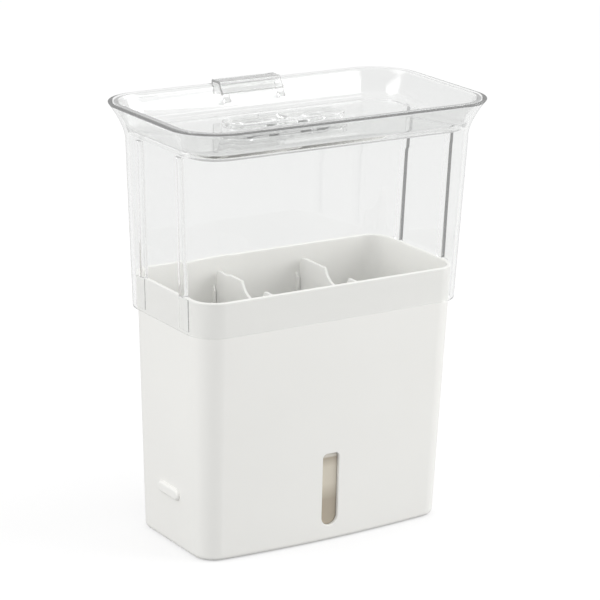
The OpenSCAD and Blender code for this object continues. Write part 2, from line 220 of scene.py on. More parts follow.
# %% [markdown]
# The sky is the world's background, and what it gives depends on the ray that asks. The
# camera sees white, and diffuse rays get an even light. Mirror rays get a dim room at the
# level of the horizon and a pale ceiling above it: upright clear walls mirror the dim room,
# so they show as a light grey, and the flared mouth mirrors the ceiling, so it stays bright.
# Light that clear plastic bends far upward meets a greyer ceiling, which deepens the lines
# along thick rims.

# %% Sky
SKY_SEEN = 1.0
SKY_LIGHT = 0.95
OVERHEAD_SHADE = 0.6
OVERHEAD_FROM, OVERHEAD_TO = 0.25, 0.75
ROOM_IN_REFLECTIONS = 0.32
CEILING_IN_REFLECTIONS = 1.05
CEILING_FROM, CEILING_TO = 0.1, 0.8


def make_sky():
    """A world whose strength is chosen by the kind of ray and by how steeply it rises."""
    world = bpy.data.worlds.new("studio")
    bpy.context.scene.world = world
    world.use_nodes = True
    nodes, links = world.node_tree.nodes, world.node_tree.links
    sky = nodes["Background"]
    sky.inputs["Color"].default_value = (1, 1, 1, 1)
    direction = nodes.new("ShaderNodeTexCoord")
    axes = nodes.new("ShaderNodeSeparateXYZ")
    links.new(direction.outputs["Generated"], axes.inputs[0])
    up = axes.outputs["Z"]
    shaded = SKY_SEEN * OVERHEAD_SHADE
    ceiling = map_range(nodes, links, up, OVERHEAD_FROM, OVERHEAD_TO, SKY_SEEN, shaded)
    mirrored = map_range(
        nodes, links, up, CEILING_FROM, CEILING_TO, ROOM_IN_REFLECTIONS, CEILING_IN_REFLECTIONS
    )
    path = nodes.new("ShaderNodeLightPath").outputs
    seen = switch(nodes, links, path["Is Camera Ray"], ceiling, SKY_SEEN)
    light = switch(nodes, links, path["Is Glossy Ray"], SKY_LIGHT, mirrored)
    level = switch(nodes, links, seen_through(nodes, links, path), light, seen)
    links.new(level, sky.inputs["Strength"])


make_sky()
bpy.context.scene.view_settings.view_transform = "Standard"
print("sky", SKY_SEEN, "as seen and", SKY_LIGHT, "as light")

# %% [markdown]
# Two large soft lamps shape the form. One over the right shoulder makes the front panel a
# touch brighter to the right, and one from the left keeps the short wall open. They are
# weak, so that white plastic stays under pure white, and the sky does the rest. The camera
# doesn't see the lamps themselves, so a view from any side stays clean.

# %% Soft lamps
LAMPS = (
    # name, place in metres, size in metres, power in watts
    ("right_front_softbox", (1.9, -1.1, 1.0), 1.9, 30.0),
    ("left_softbox", (-1.9, 0.3, 0.9), 1.8, 15.6),
)
AIM_AT = Vector((0, 0, 0.13))


def make_lamp(name, place, size, power):
    data = bpy.data.lights.new(name, "AREA")
    data.shape = "SQUARE"
    data.size = size
    data.energy = power
    lamp = bpy.data.objects.new(name, data)
    bpy.context.scene.collection.objects.link(lamp)
    lamp.location = place
    lamp.rotation_mode = "QUATERNION"
    lamp.rotation_quaternion = (AIM_AT - Vector(place)).to_track_quat("-Z", "Y")
    lamp.visible_camera = False


for lamp_facts in LAMPS:
    make_lamp(*lamp_facts)
print("lamps:", [facts[0] for facts in LAMPS])

# %% [markdown]
# ## Materials
#
# The tub is satin polypropylene. Its mould was spark-eroded, which leaves a grain far finer
# than a millimetre, and the plastic shrinks a little unevenly, so large areas are not quite
# one tone. A fine noise drives the bump, and a slow noise drives colour and gloss.

# %% Material helpers
NOISE_FROM, NOISE_TO = 0.3, 0.7
TINT_FROM, TINT_TO = 0.35, 0.65
UNEVEN = 0.985


def new_material(name):
    material = bpy.data.materials.new(name)
    material.use_nodes = True
    nodes = material.node_tree.nodes
    return material, nodes, material.node_tree.links, nodes["Principled BSDF"]


def noise(nodes, links, scale, detail=3.0):
    cloud = nodes.new("ShaderNodeTexNoise")
    cloud.inputs["Scale"].default_value = scale
    cloud.inputs["Detail"].default_value = detail
    links.new(own_place(nodes), cloud.inputs["Vector"])
    return cloud.outputs["Fac"]


def spread_to(nodes, links, value, low, high):
    """Maps a noise value to the range from low to high."""
    return map_range(nodes, links, value, NOISE_FROM, NOISE_TO, low, high)


def uneven_tint(nodes, links, value, tint, share=UNEVEN):
    """The tint where the noise value is high, and a share of it where it is low."""
    ramp = nodes.new("ShaderNodeValToRGB")
    low, high = ramp.color_ramp.elements
    low.position, high.position = TINT_FROM, TINT_TO
    low.color = (*(share * c for c in tint), 1)
    high.color = (*tint, 1)
    links.new(value, ramp.inputs["Fac"])
    return ramp.outputs["Color"]


def add_bump(nodes, links, shader, height, depth):
    bump = nodes.new("ShaderNodeBump")
    bump.inputs["Distance"].default_value = depth
    links.new(height, bump.inputs["Height"])
    links.new(bump.outputs["Normal"], shader.inputs["Normal"])


print("uneven plastic falls to", UNEVEN, "of its tint")

# %% White satin plastic
TUB_TONE, TUB_ROUGHNESS = (0.865, 0.862, 0.835), (0.36, 0.46)
DIVIDER_TONE, DIVIDER_ROUGHNESS = (0.82, 0.818, 0.795), (0.42, 0.52)
TONE_SCALE = 14
GLOSS_SCALE = 60
GRAIN_SCALE, GRAIN_DETAIL, GRAIN_DEPTH = 2600, 2, 0.006 * MM
PLASTIC_IOR = 1.49


def satin_plastic(name, tone, roughness):
    material, nodes, links, shader = new_material(name)
    slow = noise(nodes, links, TONE_SCALE)
    links.new(uneven_tint(nodes, links, slow, tone), shader.inputs["Base Color"])
    gloss = spread_to(nodes, links, noise(nodes, links, GLOSS_SCALE), *roughness)
    links.new(gloss, shader.inputs["Roughness"])
    grain = noise(nodes, links, GRAIN_SCALE, GRAIN_DETAIL)
    add_bump(nodes, links, shader, grain, GRAIN_DEPTH)
    shader.inputs["IOR"].default_value = PLASTIC_IOR
    return material


white_satin = satin_plastic("white_satin", TUB_TONE, TUB_ROUGHNESS)
divider_satin = satin_plastic("divider_satin", DIVIDER_TONE, DIVIDER_ROUGHNESS)
print("satin plastics:", white_satin.name, divider_satin.name)

# %% [markdown]
# The hood, lid, handle and slider are clear moulded acrylic-like plastic. Its walls are real
# solids with an inner and an outer face, so the rims bend light and turn dark on their own,
# as on the real thing. Light that keeps bouncing inside a wall is cut short by the
# renderer, so a small glow after the third bounce stands in for what it would bring.

# %% Clear plastic
TRAPPED_BOUNCES = 2.5
HOOD_GLOW, LID_GLOW = 0.10, 0.22
CLEAR_TINT = (0.933, 0.936, 0.933)
CLEAR_TONE_SCALE = 9


def clear_plastic(name, tint, trapped_glow):
    """Clear plastic. Light that is caught between its faces leaves them softly lit."""
    material, nodes, links, shader = new_material(name)
    path = nodes.new("ShaderNodeLightPath").outputs
    trapped = math_node(nodes, links, "GREATER_THAN", path["Glossy Depth"], TRAPPED_BOUNCES)
    glow = math_node(nodes, links, "MULTIPLY", trapped, trapped_glow)
    links.new(glow, shader.inputs["Emission Strength"])
    shader.inputs["Emission Color"].default_value = (*tint, 1)
    slow = noise(nodes, links, CLEAR_TONE_SCALE)
    links.new(uneven_tint(nodes, links, slow, tint), shader.inputs["Base Color"])
    shader.inputs["Roughness"].default_value = 0
    shader.inputs["IOR"].default_value = PLASTIC_IOR
    shader.inputs["Transmission Weight"].default_value = 1
    return material


clear = clear_plastic("clear_plastic", CLEAR_TINT, HOOD_GLOW)
lid_clear = clear_plastic("lid_plastic", CLEAR_TINT, LID_GLOW)
print("clear plastics:", clear.name, lid_clear.name)

# %% [markdown]
# The level window is smoky plastic with light and shade painted into its colour by height:
# painted shade in its lower half, painted light above, and a thin line of painted shade under
# a painted highlight along the top edge. Three tones in a colour ramp by height paint this
# once for the whole lens, and a slow ripple keeps its face from looking machined.

# %% Smoky plastic with painted light and shade
SMOKE_CLEARNESS = 0.3
SMOKE_ROUGHNESS = 0.16
RIPPLE_SCALE, RIPPLE_DETAIL, RIPPLE_DEPTH = 160, 1, 0.03 * MM
# The lens's tones: smoky plastic with painted shade, painted light and a painted highlight on its
# top edge.
SMOKE_PAINTED_SHADE, SMOKE_PAINTED_LIGHT, SMOKE_EDGE_HIGHLIGHT = (0.58, 0.51, 0.41), (0.86, 0.80, 0.68), (0.94, 0.90, 0.82)
SMOKE_PAINTED_BANDS = (
    # height in millimetres, painted tone
    (24, SMOKE_PAINTED_SHADE),
    (33, SMOKE_PAINTED_LIGHT),
    (43, SMOKE_PAINTED_LIGHT),
    (48, SMOKE_PAINTED_SHADE),
    (49, SMOKE_EDGE_HIGHLIGHT),
)


def smoky_plastic(name):
    """Partly clear smoky plastic, with shade painted below the middle and light painted above it.
    """
    material, nodes, links, shader = new_material(name)
    parts = nodes.new("ShaderNodeSeparateXYZ")
    links.new(own_place(nodes), parts.inputs["Vector"])
    low, high = SMOKE_PAINTED_BANDS[0][0] * MM, SMOKE_PAINTED_BANDS[-1][0] * MM
    height = map_range(nodes, links, parts.outputs["Z"], low, high, 0, 1)
    ramp = nodes.new("ShaderNodeValToRGB")
    stops = ramp.color_ramp.elements
    stops[1].position = 1
    for millimetres, _ in SMOKE_PAINTED_BANDS[1:-1]:
        stops.new((millimetres * MM - low) / (high - low))
    for stop, (_, colour) in zip(stops, SMOKE_PAINTED_BANDS):
        stop.color = (*colour, 1)
    links.new(height, ramp.inputs["Fac"])
    links.new(ramp.outputs["Color"], shader.inputs["Base Color"])
    shader.inputs["Roughness"].default_value = SMOKE_ROUGHNESS
    shader.inputs["IOR"].default_value = PLASTIC_IOR
    shader.inputs["Transmission Weight"].default_value = SMOKE_CLEARNESS
    ripple = noise(nodes, links, RIPPLE_SCALE, RIPPLE_DETAIL)
    add_bump(nodes, links, shader, ripple, RIPPLE_DEPTH)
    return material


# The lens's material carries the painted shade and light of the bands above.
smoky = smoky_plastic("smoky_plastic")
print("smoky plastic:", smoky.name, "with", len(SMOKE_PAINTED_BANDS), "bands")

# %% [markdown]
# The seal is a thin band of grey rubber behind the wall. Its construction mesh has every
# form the real one has, so it stays, and only its finish is new. Filled rubber is speckled
# and dull, and one noise can drive both.

# %% Grey rubber
RUBBER_TONE, RUBBER_ROUGHNESS = (0.27, 0.27, 0.26), (0.6, 0.75)
SPECK_SCALE, SPECK_SHADE = 900, 0.9
SKIN_SCALE, SKIN_DEPTH = 1500, 0.02 * MM


def soft_rubber(name):
    material, nodes, links, shader = new_material(name)
    speck = noise(nodes, links, SPECK_SCALE)
    tint = uneven_tint(nodes, links, speck, RUBBER_TONE, SPECK_SHADE)
    links.new(tint, shader.inputs["Base Color"])
    links.new(spread_to(nodes, links, speck, *RUBBER_ROUGHNESS), shader.inputs["Roughness"])
    add_bump(nodes, links, shader, noise(nodes, links, SKIN_SCALE), SKIN_DEPTH)
    return material


grey_rubber = soft_rubber("grey_rubber")
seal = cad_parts["window_seal"]
seal.data.materials.clear()
seal.data.materials.append(grey_rubber)
print("seal keeps its construction mesh,", len(seal.data.polygons), "faces")

# %% [markdown]
# ## Mesh tools
#
# Tub, hood and lid are all one idea: the section of a wall swept round a rounded rectangle
# that grows towards the top. A ring gives the rectangle at one height, and a skin joins the
# rings. Extra points just beside each corner arc keep the flat panels flat when shaded.

# %% Rings
CORNER_STEPS = 28
CORNER_MARGIN = 1.2 * MM


def ring(half_x, half_y, radius, z, side_points=0):
    """Points of a rounded rectangle at height z, anticlockwise from above.

    side_points more are spread along each long side, for walls that bow.
    """
    points = []
    for quarter in range(4):
        side_x = 1 if quarter in (0, 3) else -1
        side_y = 1 if quarter < 2 else -1
        centre = Vector((side_x * (half_x - radius), side_y * (half_y - radius), z))
        for step in range(-1, CORNER_STEPS + 2):
            share = min(max(step / CORNER_STEPS, 0), 1)
            angle = math.radians(90) * (quarter + share)
            out = Vector((math.cos(angle), math.sin(angle), 0))
            along = Vector((-out.y, out.x, 0))
            extra = CORNER_MARGIN * (1 if step > CORNER_STEPS else -1 if step < 0 else 0)
            points.append(centre + out * radius + along * extra)
        if quarter % 2 == 0 and side_points:
            start = half_x - radius - CORNER_MARGIN
            for k in range(1, side_points + 1):
                x = side_x * start * (1 - 2 * k / (side_points + 1))
                points.append(Vector((x, side_y * half_y, z)))
    return points


print("each corner of a ring has", CORNER_STEPS + 3, "points")

# %% Arcs and skins
def arc(across, up, radius, start, end, steps=6):
    """Points on an arc round (across, up), from the start angle to the end in degrees."""
    points = []
    for step in range(steps + 1):
        angle = math.radians(start + (end - start) * step / steps)
        points.append((across + radius * math.cos(angle), up + radius * math.sin(angle)))
    return points


def mesh_piece(name, build, material):
    """Turns a bmesh into an object of one material, with its faces turned outward."""
    bmesh.ops.recalc_face_normals(build, faces=build.faces)
    mesh = bpy.data.meshes.new(name)
    build.to_mesh(mesh)
    build.free()
    mesh.materials.append(material)
    piece = bpy.data.objects.new(name, mesh)
    bpy.context.scene.collection.objects.link(piece)
    return piece


def skin(name, rings, material, sleeve=False):
    """A closed wall through the rings: a cup with two capped ends, or an open sleeve."""
    build = bmesh.new()
    loops = [[build.verts.new(point) for point in points] for points in rings]
    pairs = list(zip(loops, loops[1:]))
    if sleeve:
        pairs.append((loops[-1], loops[0]))
    for low, high in pairs:
        for i in range(len(low)):
            j = (i + 1) % len(low)
            build.faces.new((low[i], low[j], high[j], high[i]))
    if not sleeve:
        build.faces.new(list(reversed(loops[0])))
        build.faces.new(loops[-1])
    return mesh_piece(name, build, material)


print("a plain fillet has", len(arc(0, 0, 1, 0, 90)), "points")

# %% [markdown]
# Small pieces are flat outlines given a thickness, with their edges rounded by a bevel.
# Ribs and clips are fused to their wall, and slots are cut, by a boolean that is applied
# at once, so each moulded piece ends as one clean closed mesh. What is fused is rooted a
# little inside its wall, and what cuts reaches past it, so that no two faces coincide.

# %% Prisms, bevels and booleans
ROOT = 1 * MM


def solid_between(name, near_points, far_points, material):
    """A closed solid between two outlines that have the same number of points."""
    build = bmesh.new()
    near = [build.verts.new(point) for point in near_points]
    far = [build.verts.new(point) for point in far_points]
    build.faces.new(near)
    build.faces.new(list(reversed(far)))
    for i in range(len(near)):
        j = (i + 1) % len(near)
        build.faces.new((near[i], far[i], far[j], near[j]))
    return mesh_piece(name, build, material)


def prism(name, outline, depth, place, material):
    """Extrudes a 2-D outline by depth. place(u, v, w) gives the point in space."""
    near = [place(u, v, 0) for u, v in outline]
    far = [place(u, v, depth) for u, v in outline]
    return solid_between(name, near, far, material)


def apply_modifiers(piece):
    depsgraph = bpy.context.evaluated_depsgraph_get()
    mesh = bpy.data.meshes.new_from_object(piece.evaluated_get(depsgraph))
    piece.modifiers.clear()
    piece.data = mesh
    return piece


def soften(piece, width, segments=3, angle=30):
    """Rounds every edge sharper than the angle."""
    bevel = piece.modifiers.new("soften", "BEVEL")
    bevel.width = width
    bevel.segments = segments
    bevel.limit_method = "ANGLE"
    bevel.angle_limit = math.radians(angle)
    return apply_modifiers(piece)


def combine(piece, tools, operation):
    """Fuses tools to a piece, or cuts them out of it, and removes the tools."""
    for tool in tools:
        change = piece.modifiers.new(operation.lower(), "BOOLEAN")
        change.object = tool
        change.operation = operation
        change.solver = "EXACT"
        apply_modifiers(piece)
        bpy.data.objects.remove(tool)
    return piece


print("ribs, rails and lugs are rooted", ROOT / MM, "mm deep")

# %% [markdown]
# Every finished piece is dressed in the same way. It is shaded smooth, with its real edges
# kept crisp and its normals led by the large faces, so that flat panels stay flat beside
# their roundings. Then it rides its body, and the construction piece it stands for is hidden.
# Clear pieces throw no shadow: the renderer would make it solid, and the real one is faint.

# %% Dressing a piece
SMOOTH_ANGLE = math.radians(32)
LARGE_FACE_PULL = 100


def finish_shading(piece):
    piece.data.shade_smooth()
    piece.data.set_sharp_from_angle(angle=SMOOTH_ANGLE)
    weight = piece.modifiers.new("follow_large_faces", "WEIGHTED_NORMAL")
    weight.keep_sharp = True
    weight.weight = LARGE_FACE_PULL
    return apply_modifiers(piece)


def dress(piece, body, slot_name, replaced):
    """Shades a finished piece, fixes it to its body and hides the construction piece it stands
    for.
    """
    finish_shading(piece)
    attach(piece, body)
    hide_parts(replaced)
    blocks_light = slot_name != "clear_plastic"
    piece.visible_shadow = blocks_light
    piece.visible_diffuse = blocks_light
    low = [min(v.co[i] for v in piece.data.vertices) / MM for i in range(3)]
    high = [max(v.co[i] for v in piece.data.vertices) / MM for i in range(3)]
    size = " x ".join(f"{b - a:.1f}" for a, b in zip(low, high))
    print(f"{piece.name}: {len(piece.data.vertices)} points, {size} mm")


print("edges stay crisp above", round(math.degrees(SMOOTH_ANGLE)), "degrees")

# %% [markdown]
# ## The tub
#
# The tub leans outward as it rises so that it leaves its mould. Its long walls bow outward
# at the foot and straighten towards the rim. Its driving sizes are read from the
# construction model's boxes, and the few that a box can't tell are named here.

# %% Sizes of the tub
_, tub_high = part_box("tub")
LEAN = 4.9 * MM
FOOT_BOW = 4.3 * MM
WALL = 2.2 * MM
FOOT_CORNER = 11 * MM
RIM_CORNER = 14 * MM
PAD = 0.2 * MM
PAD_INSET = 4.5 * MM
TUB_FLOOR = 2.5 * MM
FOOT_FILLET = 2.5 * MM
FLOOR_FILLET = 3.2 * MM
RIM_FILLET = 0.7 * MM
tub_height = tub_high.z
top_x, top_y = tub_high.x, tub_high.y
foot_x, foot_y = top_x - LEAN, top_y - LEAN
floor_top = PAD + TUB_FLOOR
wall_tilt = math.atan2(LEAN - FOOT_BOW, tub_height)
BOW_POINTS = 28


def lean(z):
    """How far the tub's side has moved outward at height z."""
    return LEAN * z / tub_height


def bow(x, half_length, z):
    """How far the long wall bows outward at x and height z; it is straight at the rim."""
    return FOOT_BOW * (1 - z / tub_height) * (1 - (x / half_length) ** 2)


def tub_ring(out, z):
    """The tub's outline at height z, moved outward by out, with its long walls bowed."""
    half_x = foot_x + lean(z) + out
    radius = FOOT_CORNER + (RIM_CORNER - FOOT_CORNER) * z / tub_height + out
    points = ring(half_x, foot_y + lean(z) + out, radius, z, BOW_POINTS)
    for point in points:
        point.y += math.copysign(bow(point.x, half_x, z), point.y)
    return points


def inner_wall_y(z, x):
    """Half width inside the tub at height z, where the long wall is x from the middle."""
    return foot_y + lean(z) + bow(x, foot_x + lean(z), z) - WALL


foot_size = f"{2 * foot_x / MM:.1f} x {2 * (foot_y + FOOT_BOW) / MM:.1f} mm"
print(f"tub: foot {foot_size}, height {tub_height / MM:.1f} mm")

# %% [markdown]
# The wall is drawn once as a profile: up the outside, over the rim and down to the floor.
# Each of its points becomes one ring. A ring close to each end of a straight stretch holds
# the shading there, so that a fillet doesn't bleed into the flat wall.

# %% The tub's wall
SUPPORT = 1.0 * MM
FILLET_STEPS, RIM_STEPS = 8, 5


def tub_profile():
    """Up the outside, over the rim and down to the floor, as (outward, height) pairs."""
    foot = arc(-FOOT_FILLET, PAD + FOOT_FILLET, FOOT_FILLET, -90, 0, FILLET_STEPS)
    rim_low = tub_height - RIM_FILLET
    rim_out = arc(-RIM_FILLET, rim_low, RIM_FILLET, 0, 90, RIM_STEPS)
    rim_in = arc(RIM_FILLET - WALL, rim_low, RIM_FILLET, 90, 180, RIM_STEPS)
    toe_up = floor_top + FLOOR_FILLET
    toe = arc(-WALL - FLOOR_FILLET, toe_up, FLOOR_FILLET, 0, -90, FILLET_STEPS)
    return (
        [(-PAD_INSET - SUPPORT, 0), (-PAD_INSET - PAD, 0), (-PAD_INSET, PAD)]
        + foot
        + [(0, foot[-1][1] + SUPPORT), (0, rim_out[0][1] - SUPPORT)]
        + rim_out
        + rim_in
        + [(-WALL, rim_in[-1][1] - SUPPORT), (-WALL, toe[0][1] + SUPPORT)]
        + toe
        + [(toe[-1][0] - SUPPORT, floor_top)]
    )


tub_rings = [tub_ring(out, z) for out, z in tub_profile()]
tub = skin("tub_shell", tub_rings, white_satin)
print("tub wall has", len(tub_rings), "rings")

# %% [markdown]
# The level window sits in a slot with a round lower end, low in the middle of the front.
# Everything there lies in the plane of the leaning wall, so one helper turns wall
# coordinates into space. A shallow wider cut breaks the slot's sharp outer edge, and a flat
# seat is cut into the bowed wall's inner face for the seal.

# %% The window's slot
WINDOW_WIDTH = 10.4 * MM
WINDOW_LOW = 9.3 * MM
WINDOW_TOP = 51 * MM
WINDOW_CORNER = 2.5 * MM
FLANGE_REACH = 3 * MM
SEAT_DEPTH = 0.2 * MM
SEAT_RIM = 0.3 * MM
SLOT_BREAK = 0.3 * MM
CUT_BEFORE = 5 * MM
CUT_PAST = 1 * MM
ROUND_STEPS = 16
seat = WALL * math.cos(wall_tilt) - SEAT_DEPTH


def on_front_wall(across, up, inward):
    """A point by its place across and up the wall, and its depth behind the outer face."""
    slope = Vector((0, -math.sin(wall_tilt), math.cos(wall_tilt)))
    behind = Vector((0, math.cos(wall_tilt), math.sin(wall_tilt)))
    return Vector((across, -foot_y - FOOT_BOW, 0)) + slope * up + behind * inward


def window_outline(grow):
    """The slot's outline: a half circle below and two small corners above."""
    half = WINDOW_WIDTH / 2
    low = arc(0, WINDOW_LOW + half, half + grow, 180, 360, 2 * ROUND_STEPS)
    top = WINDOW_TOP - WINDOW_CORNER
    right = arc(half - WINDOW_CORNER, top, WINDOW_CORNER + grow, 0, 90, ROUND_STEPS)
    left = arc(WINDOW_CORNER - half, top, WINDOW_CORNER + grow, 90, 180, ROUND_STEPS)
    return low + right + left


def wall_prism(name, outline, near, far, material):
    """A prism behind the front wall's face, from depth near to depth far."""
    place = lambda u, v, w: on_front_wall(u, v, near + w)
    return prism(name, outline, far - near, place, material)


def slot_break_tool():
    """A shallow cutter with sloping sides that breaks the slot's outer edge."""
    wide = [on_front_wall(u, v, -SLOT_BREAK) for u, v in window_outline(2 * SLOT_BREAK)]
    tight = [on_front_wall(u, v, SLOT_BREAK) for u, v in window_outline(0)]
    return solid_between("slot_break", wide, tight, white_satin)


seat_outline = window_outline(FLANGE_REACH + SEAT_RIM)
slot_tool = wall_prism("slot", window_outline(0), -CUT_BEFORE, WALL + CUT_PAST, white_satin)
seat_tool = wall_prism("seat", seat_outline, seat, seat + CUT_PAST, white_satin)
combine(tub, [slot_tool, slot_break_tool(), seat_tool], "DIFFERENCE")
print("tub after the slot:", len(tub.data.polygons), "faces")

# %% [markdown]
# Low on each short side is an oblong moulded lug, a stop for the fingers when the tub is
# carried. It is low and well rounded, so it shows as a soft highlight over a soft shadow.

# %% The side lugs
LUG_LENGTH = 22 * MM
LUG_HEIGHT = 6.5 * MM
LUG_OUT = 1.7 * MM
LUG_MIDDLE = 31 * MM
LUG_ROUND = 1.6 * MM
lug_reach = foot_x + lean(LUG_MIDDLE) + LUG_OUT


def oblong(length, width, steps=ROUND_STEPS):
    """An outline with two straight sides and two round ends."""
    reach = (length - width) / 2
    right = arc(reach, 0, width / 2, -90, 90, steps)
    left = arc(-reach, 0, width / 2, 90, 270, steps)
    return right + left


def side_lug(side):
    inner = foot_x - ROOT
    place = lambda u, v, w: Vector((side * (inner + w), u, LUG_MIDDLE + v))
    lug = prism("lug", oblong(LUG_LENGTH, LUG_HEIGHT), lug_reach - inner, place, white_satin)
    return soften(lug, LUG_ROUND, segments=FILLET_STEPS)


combine(tub, [side_lug(side) for side in (-1, 1)], "UNION")
print("lugs reach", round(lug_reach / MM, 1), "mm from the middle")

# %% [markdown]
# Inside, pairs of rails on the long walls guide the dividers, and four clips hold the
# window's flange. They can be seen through the clear hood, so they are modelled too.

# %% Rails and clips
DIVIDER_X = 27 * MM
DIVIDER_THICK = 1.8 * MM
DIVIDER_GAP = 0.35 * MM
DIVIDER_SIDE_GAP = 1 * MM
RAIL_THICK = 1.5 * MM
RAIL_OUT = 2.6 * MM
RAIL_DROP = 16 * MM
RAIL_ROUND = 0.3 * MM
FLANGE_THICK = 1.4 * MM
SEAL_THICK = 0.9 * MM
WINDOW_GAP = 0.15 * MM
CLIP_HEIGHT = 6 * MM
CLIP_THICK = 1.4 * MM
rail_top = tub_height - RAIL_DROP
rail_offset = DIVIDER_THICK / 2 + DIVIDER_GAP + RAIL_THICK / 2


def rail(x, side):
    """A rail on the long wall at x, with a sloping top that leads the divider in."""
    low = floor_top - ROOT
    outline = [
        (inner_wall_y(low, x) + ROOT, low),
        (inner_wall_y(rail_top, x) + ROOT, rail_top),
        (inner_wall_y(rail_top, x), rail_top),
        (inner_wall_y(rail_top - RAIL_OUT, x) - RAIL_OUT, rail_top - RAIL_OUT),
        (inner_wall_y(low, x) - RAIL_OUT, low),
    ]
    place = lambda u, v, w: Vector((x - RAIL_THICK / 2 + w, side * u, v))
    return soften(prism("rail", outline, RAIL_THICK, place, white_satin), RAIL_ROUND, segments=2)


def clip(side, up):
    """A hook beside the window's flange that reaches over its back."""
    beside = WINDOW_WIDTH / 2 + FLANGE_REACH + WINDOW_GAP
    back = seat + SEAL_THICK + FLANGE_THICK
    outline = [
        (beside, seat - ROOT),
        (beside + CLIP_THICK, seat - ROOT),
        (beside + CLIP_THICK, back + CLIP_THICK),
        (beside - CLIP_THICK / 2, back + CLIP_THICK),
        (beside - CLIP_THICK / 2, back),
        (beside, back),
    ]
    place = lambda u, v, w: on_front_wall(side * u, up + w, v)
    return prism("clip", outline, CLIP_HEIGHT, place, white_satin)


rails = [
    rail(end * DIVIDER_X + face * rail_offset, side)
    for end in (-1, 1)
    for face in (-1, 1)
    for side in (-1, 1)
]
clip_heights = (WINDOW_LOW + WINDOW_WIDTH / 2, WINDOW_TOP - CLIP_HEIGHT - WINDOW_CORNER)
clips = [clip(side, up) for side in (-1, 1) for up in clip_heights]
combine(tub, rails + clips, "UNION")
dress(tub, "tub", "white_plastic", "tub")

# %% [markdown]
# ## The water window
#
# The window is smoky clear plastic: a boss that sits deep in the slot, so the slot's sides
# show round it, and a flange behind it that presses on the seal.

# %% The window
WINDOW_SINK = 1.7 * MM
LENS_BEVEL = 0.4 * MM
flange_at = seat + SEAL_THICK
flange_back = flange_at + FLANGE_THICK
boss_back = flange_at + FLANGE_THICK / 2
boss_outline = window_outline(-WINDOW_GAP)
boss = wall_prism("water_window_lens", boss_outline, WINDOW_SINK, boss_back, smoky)
soften(boss, LENS_BEVEL, angle=60)
flange = wall_prism("flange", window_outline(FLANGE_REACH), flange_at, flange_back, smoky)
combine(boss, [flange], "UNION")
dress(boss, "tub", "smoky_plastic", "water_window")

# %% [markdown]
# ## The dividers
#
# Each divider is a thin plate that follows the tub's sloping walls. A scallop in its top
# edge is for the fingertip, and an arch in its foot lets the water find one level.

# %% The divider plates
DIVIDER_DROP = 7 * MM
DIVIDER_ROUND = 0.45 * MM
SCALLOP_RADIUS = 13 * MM
SCALLOP_DEPTH = 8 * MM
PASSAGE_WIDTH = 22 * MM
PASSAGE_HEIGHT = 9 * MM
PASSAGE_ROUND = 3 * MM
SHOULDER_ROUND = 4 * MM
divider_top = tub_height - DIVIDER_DROP


def divider_half():
    """The right half of the plate's outline, from the water passage up to the scallop."""
    toe = FLOOR_FILLET + DIVIDER_GAP
    face_x = DIVIDER_X + DIVIDER_THICK / 2
    half = inner_wall_y(divider_top, face_x) - DIVIDER_SIDE_GAP
    up = divider_top - SCALLOP_DEPTH + SCALLOP_RADIUS
    reach = math.degrees(math.acos((SCALLOP_RADIUS - SCALLOP_DEPTH) / SCALLOP_RADIUS))
    arch_up = floor_top + PASSAGE_HEIGHT - PASSAGE_ROUND
    return (
        arc(PASSAGE_WIDTH / 2 - PASSAGE_ROUND, arch_up, PASSAGE_ROUND, 90, 0)
        + [(PASSAGE_WIDTH / 2, floor_top), (inner_wall_y(floor_top, face_x) - toe, floor_top)]
        + [(inner_wall_y(floor_top + toe, face_x) - DIVIDER_SIDE_GAP, floor_top + toe)]
        + arc(half - SHOULDER_ROUND, divider_top - SHOULDER_ROUND, SHOULDER_ROUND, 0, 90)
        + arc(0, up, SCALLOP_RADIUS, -90 + reach, -90, ROUND_STEPS)
    )


def divider(name, x, body):
    right = divider_half()
    left = [(-u, v) for u, v in reversed(right)]
    outline = right + left[1:]
    place = lambda u, v, w: Vector((x - DIVIDER_THICK / 2 + w, u, v))
    plate = prism(name, outline, DIVIDER_THICK, place, divider_satin)
    soften(plate, DIVIDER_ROUND, angle=40)
    dress(plate, body, "divider_plastic", body)


divider("divider_plate_left", -DIVIDER_X, "divider_left")
divider("divider_plate_right", DIVIDER_X, "divider_right")

# %% [markdown]
# ## The hood
#
# The hood's sides lean outward a little and then flare into a wide mouth. One formula gives
# the spread at every height, and the lid uses it too, which is why the lid nests in it.

# %% The hood's shape
hood_low, hood_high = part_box("hood")
HOOD_WALL = 1.8 * MM
HOOD_GAP = 0.45 * MM
HOOD_LEAN = 3.9 * MM
FLARE_HEIGHT = 22 * MM
FLARE_OUT = 9.2 * MM
FLARE_POWER = 1.6
FLARE_CORNER = 10 * MM
RIM_EDGE = 2.8 * MM
EDGE_FILLET = 1.0 * MM
FLARE_STEPS = 24
hood_foot, rim = hood_low.z, hood_high.z
flare_foot = rim - FLARE_HEIGHT
hood_x = top_x + HOOD_GAP + HOOD_WALL
hood_y = top_y + HOOD_GAP + HOOD_WALL
hood_corner = RIM_CORNER + HOOD_GAP + HOOD_WALL


def rise(z):
    """Share of the way up the flare."""
    return max(0.0, (z - flare_foot) / FLARE_HEIGHT)


def spread(z):
    """How far the hood's outside has moved outward at height z."""
    return HOOD_LEAN * (z - hood_foot) / (rim - hood_foot) + FLARE_OUT * rise(z) ** FLARE_POWER


def thickness(wall, z):
    """A wall's thickness at height z; up the flare it grows to the width of the rim."""
    return wall + (RIM_EDGE - wall) * rise(z)


def hood_ring(out, z):
    grow = spread(z) + out
    return ring(hood_x + grow, hood_y + grow, hood_corner + FLARE_CORNER * rise(z) + out, z)


